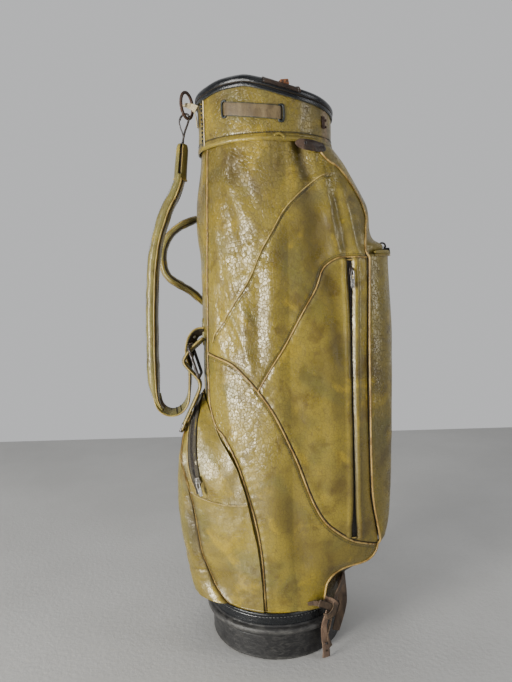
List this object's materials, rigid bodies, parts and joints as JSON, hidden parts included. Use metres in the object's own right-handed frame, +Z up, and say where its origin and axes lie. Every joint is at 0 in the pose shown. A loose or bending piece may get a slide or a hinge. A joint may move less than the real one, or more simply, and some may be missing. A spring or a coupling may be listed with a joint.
{
  "type": "golf staff bag",
  "caption": "Tall round golf bag in olive leatherette on a black rubber cup, with side pockets, a carry handle and a shoulder strap.",
  "frame": {"origin": "centre of the flat underside of the rubber cup", "axes": "+Z up the bag's length, +X towards the apparel pocket, -Y towards the side with the long zip"},
  "size_m": [0.3937, 0.2354, 0.8793],
  "materials": {
    "olive_leatherette": "pebbled mustard-olive leatherette, worn glossy",
    "brown_leather": "plain brown leather, scuffed",
    "black_vinyl": "smooth black vinyl over foam",
    "black_rubber": "moulded black rubber, dusty",
    "fibreboard": "vulcanised fibreboard tube",
    "felt": "dark felt",
    "zip_tape": "woven zip tape with its teeth",
    "nickel": "dull nickel-plated steel",
    "rusted_steel": "rust-darkened steel"
  },
  "bodies": {
    "bag": {"body_cover": "olive_leatherette", "cuff": "olive_leatherette", "cuff_welt": "olive_leatherette", "apparel_front_panel": "olive_leatherette", "apparel_rear_panel": "olive_leatherette", "apparel_end_panel": "olive_leatherette", "accessory_panel": "olive_leatherette", "accessory_top_welt": "olive_leatherette", "ball_pocket_gusset": "olive_leatherette", "ball_pocket_face": "olive_leatherette", "handle_tab_upper": "olive_leatherette", "handle_tab_lower": "olive_leatherette", "strap_anchor": "olive_leatherette", "ring_tab": "olive_leatherette", "cuff_strip": "brown_leather", "divider_flap_front": "brown_leather", "divider_flap_rear": "brown_leather", "apparel_piping_front": "brown_leather", "apparel_piping_rear": "brown_leather", "ball_pocket_piping": "brown_leather", "side_piping": "brown_leather", "hip_piping": "brown_leather", "tie_end": "brown_leather", "tie_knot": "brown_leather", "umbrella_tab": "brown_leather", "base_band": "black_vinyl", "rim_roll": "black_vinyl", "divider_bar_long": "black_vinyl", "divider_bar_left": "black_vinyl", "divider_bar_right": "black_vinyl", "base_cup": "black_rubber", "base_pad": "felt", "club_tube": "fibreboard", "cuff_stiffener": "fibreboard", "apparel_zip": "zip_tape", "ball_zip": "zip_tape", "accessory_zip": "zip_tape", "steel_stay_1": "nickel", "steel_stay_2": "nickel", "steel_stay_3": "nickel", "rim_hoop": "nickel", "cuff_plate": "rusted_steel", "strap_ring": "rusted_steel"},
    "handle": {"handle": "olive_leatherette"},
    "strap": {"snap_hook": "rusted_steel", "strap_sleeve": "olive_leatherette", "shoulder_strap": "olive_leatherette", "strap_webbing": "olive_leatherette", "strap_loose_end": "olive_leatherette", "buckle_frame": "rusted_steel"},
    "gate": {"snap_gate": "rusted_steel"},
    "prong": {"buckle_prong": "rusted_steel"},
    "apparel_slider": {"apparel_slider": "nickel"},
    "apparel_pull": {"apparel_pull": "nickel"},
    "ball_slider": {"ball_slider": "nickel"},
    "ball_pull": {"ball_pull": "nickel"},
    "accessory_slider": {"accessory_slider": "nickel"},
    "accessory_pull": {"accessory_pull": "nickel"}
  },
  "joints": [
    {"name": "handle_swing", "type": "hinge", "parent": "bag", "child": "handle", "pos_m": [-0.115, 0.036, 0.625], "axis": [0, 0, -1], "range_deg": [-10, 45]},
    {"name": "strap_swing", "type": "hinge", "parent": "bag", "child": "strap", "pos_m": [-0.1195, -0.02, 0.6], "axis": [0, 0, 1], "range_deg": [-15, 6.5]},
    {"name": "gate_hinge", "type": "hinge", "parent": "strap", "child": "gate", "pos_m": [-0.1264, -0.02, 0.82], "axis": [0, 1, 0], "range_deg": [0, 20], "stiffness_Nm_per_rad": 0.002},
    {"name": "prong_hinge", "type": "hinge", "parent": "strap", "child": "prong", "pos_m": [-0.127, -0.033, 0.488], "axis": [0, 1, 0], "range_deg": [0, 60]},
    {"name": "apparel_zip_slide", "type": "slide", "parent": "bag", "child": "apparel_slider", "axis": [0, 0, -1], "range_m": [0, 0.37]},
    {"name": "apparel_pull_hinge", "type": "hinge", "parent": "apparel_slider", "child": "apparel_pull", "pos_m": [0.12013, -0.09948, 0.598], "axis": [-0.9578, -0.2874, 0], "range_deg": [0, 90]},
    {"name": "ball_zip_turn", "type": "hinge", "parent": "bag", "child": "ball_slider", "pos_m": [-0.119, 0, 0.305], "axis": [-1, 0, 0], "range_deg": [0, 220]},
    {"name": "ball_pull_hinge", "type": "hinge", "parent": "ball_slider", "child": "ball_pull", "pos_m": [-0.119, -0.081, 0.27062], "axis": [-1, 0, 0], "range_deg": [0, 60]},
    {"name": "accessory_zip_slide", "type": "slide", "parent": "bag", "child": "accessory_slider", "axis": [0, 1, 0], "range_m": [0, 0.06]},
    {"name": "accessory_pull_hinge", "type": "hinge", "parent": "accessory_slider", "child": "accessory_pull", "pos_m": [0.1811, -0.03, 0.6334], "axis": [-1, 0, 0], "range_deg": [0, 120]}
  ]
}
